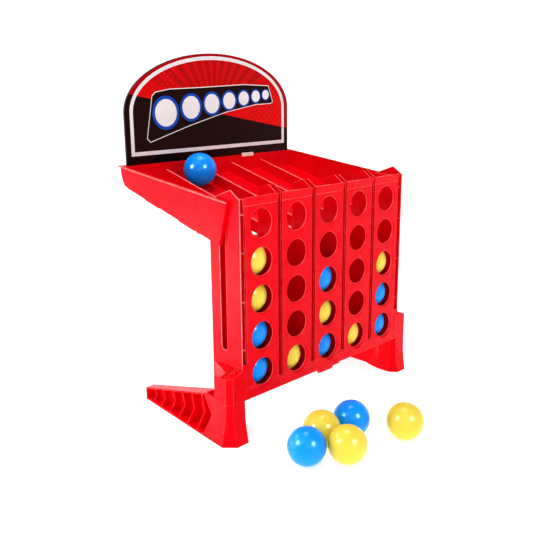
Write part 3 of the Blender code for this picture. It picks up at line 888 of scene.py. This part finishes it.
def ball(centre, seed):
    """Hollow plastic ball with a fine seam round it and a gate mark at one pole."""
    points, rings = [], []
    for angle, radius in ball_rings():
        a = math.radians(angle)
        if abs(angle) == 90.0:
            rings.append([len(points)])
            points.append(Vector((0.0, 0.0, radius * math.sin(a))))
            continue
        rings.append(list(range(len(points), len(points) + BALL_SEGMENTS)))
        for i in range(BALL_SEGMENTS):
            t = 2 * math.pi * i / BALL_SEGMENTS
            points.append(Vector((radius * math.cos(a) * math.cos(t), radius * math.cos(a) * math.sin(t),
                                  radius * math.sin(a))))
    faces = []
    for low, high in zip(rings[:-1], rings[1:]):
        for i in range(BALL_SEGMENTS):
            j = (i + 1) % BALL_SEGMENTS
            face = [low[i % len(low)], low[j % len(low)], high[j % len(high)], high[i % len(high)]]
            faces.append(list(dict.fromkeys(face)))
    draw = random.Random(seed)
    turn = Matrix.Rotation(draw.uniform(0.5, 1.3), 3, "X") @ Matrix.Rotation(draw.uniform(0.0, 6.28), 3, "Z")
    turn = Matrix.Rotation(draw.uniform(0.0, 6.28), 3, "Z") @ turn
    at = Vector(centre)
    return mesh_of([tuple(turn @ p + at) for p in points], faces)


def build_balls(plastics):
    """One smooth ball in place of each faceted one."""
    slots = {part["node"]: part["material_slot"] for part in frame["record"]["subparts"]}
    names = sorted(n for n in frame["nodes"] if n.startswith("ball_"))
    for seed, name in enumerate(names):
        low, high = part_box(name)
        middle = (Vector(low) + Vector(high)) / 2 / MM
        centre = (middle.x, middle.y + ORIGIN_Y, middle.z)
        slot = slots[name]
        piece(name + "_shell", ball(centre, seed), plastics[slot], name, [name])


# Scene


def build_tower(red, ivory):
    """Pieces of the tower: new ones for the face, sockets and tray, refined copies of the rest."""
    piece("tower_face", tower_face(), red, "tower", ["front_panel"])
    for side, word in ((-1, "left"), (1, "right")):
        piece(f"socket_{word}_boot", socket(side), red, "tower", [f"socket_{word}"])
    trays = ["tray_floor", "tray_rear", "tray_side_left", "tray_side_right"]
    trays += [f"lane_divider_{n}" for n in range(1, COLUMNS)]
    piece("ball_tray_moulding", tray(), red, "tower", trays)
    widths = COPY_ROUNDING | {f"partition_{n}": PARTITION_ROUNDING for n in range(1, COLUMNS)}
    for name, width in widths.items():
        mesh = rounded(copy_of(frame["nodes"][name]), width)
        piece(name + "_moulding", mesh, red, "tower", [name])
    piece("board_clip", clip(), ivory, "tower")
    door = rounded(copy_of(frame["nodes"]["release_door"]), ROUNDING["door"])
    piece("release_door_moulding", door, red, "release_door", ["release_door"])


def aimed(name, data, direction):
    """A light in the scene that shines along a direction."""
    item = bpy.data.objects.new(name, data)
    item.rotation_mode = "QUATERNION"
    item.rotation_quaternion = direction.to_track_quat("-Z", "Y")
    bpy.context.scene.collection.objects.link(item)
    return item


def area_light(name, at, towards, size, power):
    """A soft rectangular light aimed at a point and hidden from the camera."""
    data = bpy.data.lights.new(name, "AREA")
    data.shape = "RECTANGLE"
    data.size, data.size_y = size
    data.energy = power
    item = aimed(name, data, Vector(towards) - Vector(at))
    item.location = at
    item.visible_camera = False
    return item


def build_floor():
    """Pale floor under the object."""
    mesh = bpy.data.meshes.new("studio_floor")
    work = bmesh.new()
    bmesh.ops.create_grid(work, x_segments=8, y_segments=8, size=FLOOR_SIZE)
    work.to_mesh(mesh)
    work.free()
    mesh.materials.append(studio_floor())
    floor = bpy.data.objects.new("studio_floor", mesh)
    bpy.context.scene.collection.objects.link(floor)


def build_world():
    """White surround that is dimmer overhead."""
    world = bpy.data.worlds.new("studio")
    bpy.context.scene.world = world
    world.use_nodes = True
    tree = world.node_tree
    up = tree.nodes.new("ShaderNodeSeparateXYZ")
    tree.links.new(tree.nodes.new("ShaderNodeTexCoord").outputs["Generated"], up.inputs[0])
    fade = tree.nodes.new("ShaderNodeMapRange")
    for name, value in SKY_FADE.items():
        fade.inputs[name].default_value = value
    background = tree.nodes["Background"]
    tree.links.new(up.outputs["Z"], fade.inputs["Value"])
    tree.links.new(fade.outputs["Result"], background.inputs["Strength"])
    background.inputs["Color"].default_value = (1.0, 1.0, 1.0, 1.0)


def build_lights():
    """A weak sun, soft lights, and cards that show only as reflections on gloss."""
    sun = bpy.data.lights.new("sun", "SUN")
    sun.energy = SUN_STRENGTH
    sun.angle = math.radians(SUN_ANGLE)
    aimed("sun", sun, Vector(SUN_TOWARDS))
    for light in SOFT_LIGHTS:
        area_light(*light)
    for card in REFLECTION_CARDS:
        area_light(*card).visible_diffuse = False
    bpy.context.scene.view_settings.view_transform = "Standard"
    bpy.context.scene.view_settings.look = "Medium High Contrast"


def build_camera():
    """Camera above and to the left of the tower's front."""
    level = math.cos(ELEVATION)
    forward = Vector((-math.sin(AZIMUTH) * level, math.cos(AZIMUTH) * level, -math.sin(ELEVATION)))
    right = forward.cross(Vector((0.0, 0.0, 1.0))).normalized()
    up = right.cross(forward)
    rolled = right * math.cos(ROLL) + up * math.sin(ROLL)
    upright = up * math.cos(ROLL) - right * math.sin(ROLL)
    data = bpy.data.cameras.new("camera")
    data.lens = LENS
    data.sensor_width = SENSOR
    data.clip_start, data.clip_end = 0.01, 100.0
    item = bpy.data.objects.new("camera", data)
    basis = Matrix((rolled, upright, -forward)).transposed()
    item.matrix_world = Matrix.Translation(CAMERA_AT) @ basis.to_4x4()
    bpy.context.scene.collection.objects.link(item)
    bpy.context.scene.camera = item


def ball_plastics():
    """Blue and yellow ball plastic, by material slot."""
    return {
        "blue_plastic": moulded(
            "blue_plastic", colour=(0.001, 0.30, 0.96), deep=(0.001, 0.27, 0.92),
            highlight_and_wear=(0.05, 0.36, 0.92), roughness=0.16, tint=(0.6, 0.85, 1.0), specular=0.32, glow=0.0,
        ),
        "yellow_plastic": moulded(
            "yellow_plastic", colour=(0.80, 0.65, 0.09), deep=(0.76, 0.60, 0.07),
            highlight_and_wear=(0.92, 0.76, 0.18), roughness=0.16, tint=(1.0, 0.97, 0.7), specular=0.30, glow=0.35,
        ),
    }


def board_materials():
    """Board and inks of the backboard."""
    return {
        "board": board_core(),
        "field": sunburst(),
        "white": ink("white_ink", (0.78, 0.79, 0.79), (0.72, 0.73, 0.73)),
        "grey": ink("grey_ink", (0.50, 0.48, 0.48), (0.44, 0.42, 0.42)),
        "black": ink("black_ink", (0.007, 0.002, 0.002), (0.011, 0.003, 0.003)),
        "blue": ink("blue_ink", (0.004, 0.085, 0.45), (0.003, 0.07, 0.38)),
    }


def main():
    """Every piece in place of the model's faceted nodes, then the stage."""
    red = moulded(
        "red_plastic", colour=(0.74, 0.0011, 0.011), deep=(0.69, 0.0009, 0.009),
        highlight_and_wear=(1.0, 0.48, 0.44), roughness=0.24, tint=(1.0, 0.16, 0.20), specular=0.18, glow=0.4,
    )
    ivory = moulded(
        "ivory_plastic", colour=(0.80, 0.66, 0.62), deep=(0.74, 0.60, 0.56),
        highlight_and_wear=(0.90, 0.82, 0.80), roughness=0.30, tint=(1.0, 1.0, 1.0), specular=0.3, glow=0.1,
    )
    build_tower(red, ivory)
    build_backboard(board_materials())
    build_balls(ball_plastics())
    build_floor()
    build_world()
    build_lights()
    build_camera()
    bpy.context.view_layer.update()


main()
